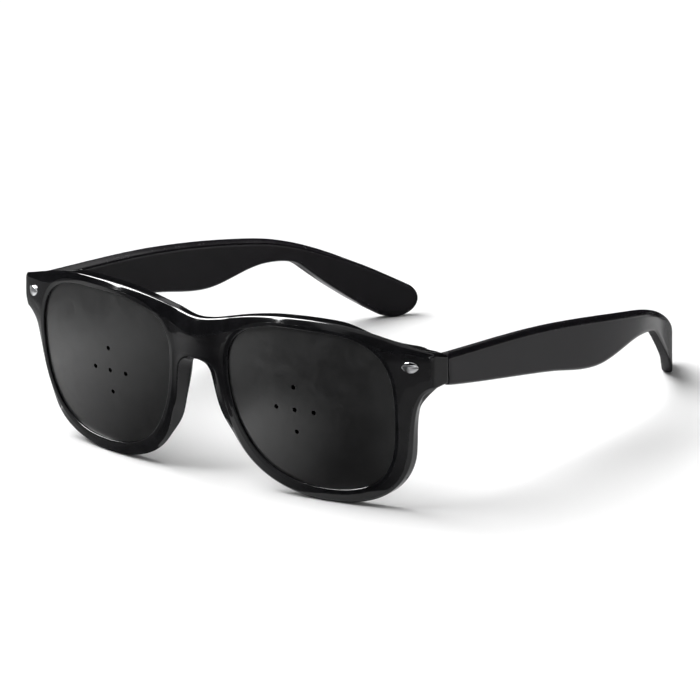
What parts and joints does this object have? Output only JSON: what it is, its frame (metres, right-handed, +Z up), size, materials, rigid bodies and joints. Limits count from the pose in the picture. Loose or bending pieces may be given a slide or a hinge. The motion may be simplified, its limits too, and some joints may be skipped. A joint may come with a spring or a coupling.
{
  "type": "pinhole glasses",
  "caption": "Pinhole glasses: a moulded front with curved plates pierced by a cross of pinholes, and folding temples on screw hinges.",
  "frame": {"origin": "on the table under the middle of the glasses, which stand open on the lower rims and the temple tips", "axes": "+Z up, the front faces -Y and the temples run back towards +Y, +X towards the wearer's left"},
  "size_m": [0.142, 0.1587, 0.0517],
  "materials": {
    "frame": "polished black injection moulding",
    "temple": "satin black injection moulding",
    "plate": "satin dark grey moulding",
    "rivet": "polished",
    "hinge": "plated"
  },
  "bodies": {
    "front": {"front_frame": "frame", "pinhole_plate_left": "plate", "pinhole_plate_right": "plate", "rivet_left": "rivet", "rivet_right": "rivet", "front_hinge_leaf_left": "hinge", "front_hinge_leaf_right": "hinge", "hinge_screw_left": "hinge", "hinge_screw_right": "hinge"},
    "left_temple": {"temple_left": "temple", "temple_hinge_leaf_left": "hinge"},
    "right_temple": {"temple_right": "temple", "temple_hinge_leaf_right": "hinge"}
  },
  "joints": [
    {"name": "left_fold", "type": "hinge", "parent": "front", "child": "left_temple", "pos_m": [0.06545, -0.05994, 0.0397], "axis": [0, 0, 1], "range_deg": [0, 84]},
    {"name": "right_fold", "type": "hinge", "parent": "front", "child": "right_temple", "pos_m": [-0.06545, -0.05994, 0.0397], "axis": [0, 0, -1], "range_deg": [0, 70]}
  ]
}
